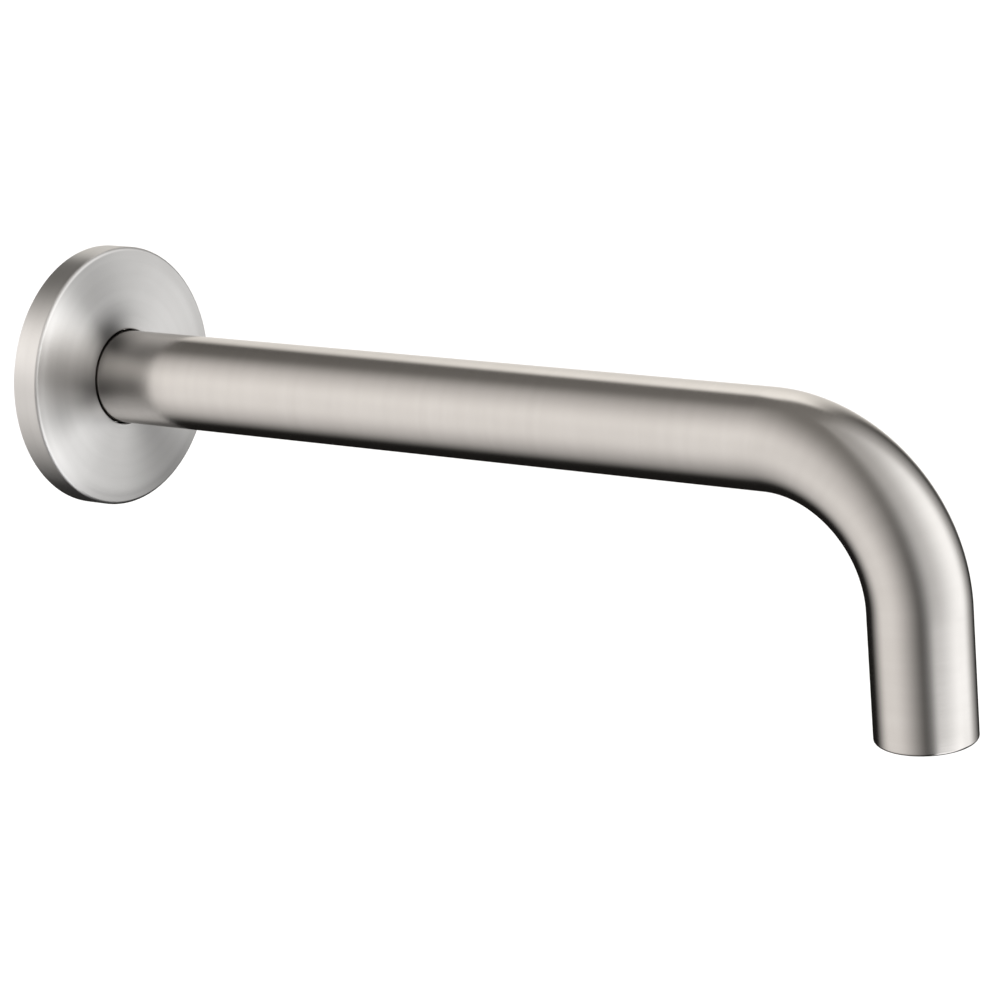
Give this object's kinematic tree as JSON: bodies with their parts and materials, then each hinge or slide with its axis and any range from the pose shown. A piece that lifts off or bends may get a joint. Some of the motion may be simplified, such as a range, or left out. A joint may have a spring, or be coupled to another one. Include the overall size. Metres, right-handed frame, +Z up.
{
  "type": "wall mounted bath spout",
  "caption": "Wall mounted bath spout: a bent brushed tube on a brass wall nipple, with a loose round wall flange and a recessed aerator.",
  "frame": {"origin": "on the inlet axis, at the wall face", "axes": "+Y along the inlet axis into the wall, the spout reaches out along -Y, +Z up, the outlet points down -Z"},
  "size_m": [0.07, 0.2765, 0.105],
  "materials": {
    "brushed_nickel": "satin brushed",
    "bare_brass": "machined",
    "lock_steel": "machined",
    "screen_steel": "woven wire",
    "seal_rubber": "matte",
    "gasket_foam": "closed cell foam",
    "washer_fibre": "pressed fibre",
    "aerator_plastic": "moulded"
  },
  "bodies": {
    "wall_fitting": {"wall_nipple": "bare_brass", "nipple_washer": "washer_fibre", "nipple_o_ring_inner": "seal_rubber", "nipple_o_ring_outer": "seal_rubber"},
    "spout": {"spout_tube": "brushed_nickel", "inlet_socket": "bare_brass", "outlet_collar": "bare_brass"},
    "lock_screw": {"lock_screw": "lock_steel"},
    "flange_grip": {"flange_grip_ring": "seal_rubber"},
    "flange": {"wall_flange": "brushed_nickel", "flange_gasket": "gasket_foam"},
    "aerator_seal": {"aerator_gasket": "seal_rubber"},
    "aerator": {"aerator_shell": "aerator_plastic", "aerator_strainer": "aerator_plastic", "aerator_jet_plate": "aerator_plastic", "aerator_core": "aerator_plastic", "aerator_mesh_upper": "screen_steel", "aerator_mesh_middle": "screen_steel", "aerator_mesh_lower": "screen_steel", "aerator_outlet_grid": "aerator_plastic"}
  },
  "joints": [
    {"name": "spout_pull_off", "type": "slide", "parent": "wall_fitting", "child": "spout", "axis": [0, -1, 0], "range_m": [0, 0.06]},
    {"name": "lock_screw_travel", "type": "slide", "parent": "spout", "child": "lock_screw", "axis": [0, 0, -1], "range_m": [0, 0.002]},
    {"name": "flange_slide", "type": "slide", "parent": "spout", "child": "flange_grip", "axis": [0, -1, 0], "range_m": [0, 0.2]},
    {"name": "flange_spin", "type": "hinge", "parent": "flange_grip", "child": "flange", "pos_m": [0, 0, 0], "axis": [0, -1, 0], "continuous": true},
    {"name": "aerator_drop", "type": "slide", "parent": "spout", "child": "aerator_seal", "axis": [0, 0, -1], "range_m": [0, 0.0111]},
    {"name": "aerator_turn", "type": "hinge", "parent": "aerator_seal", "child": "aerator", "pos_m": [0, -0.25, -0.06], "axis": [0, 0, -1], "range_deg": [0, 3960]}
  ],
  "couplings": [
    {"joint": "aerator_drop", "follows": "aerator_turn", "m_per_rad": 0.00015915}
  ]
}
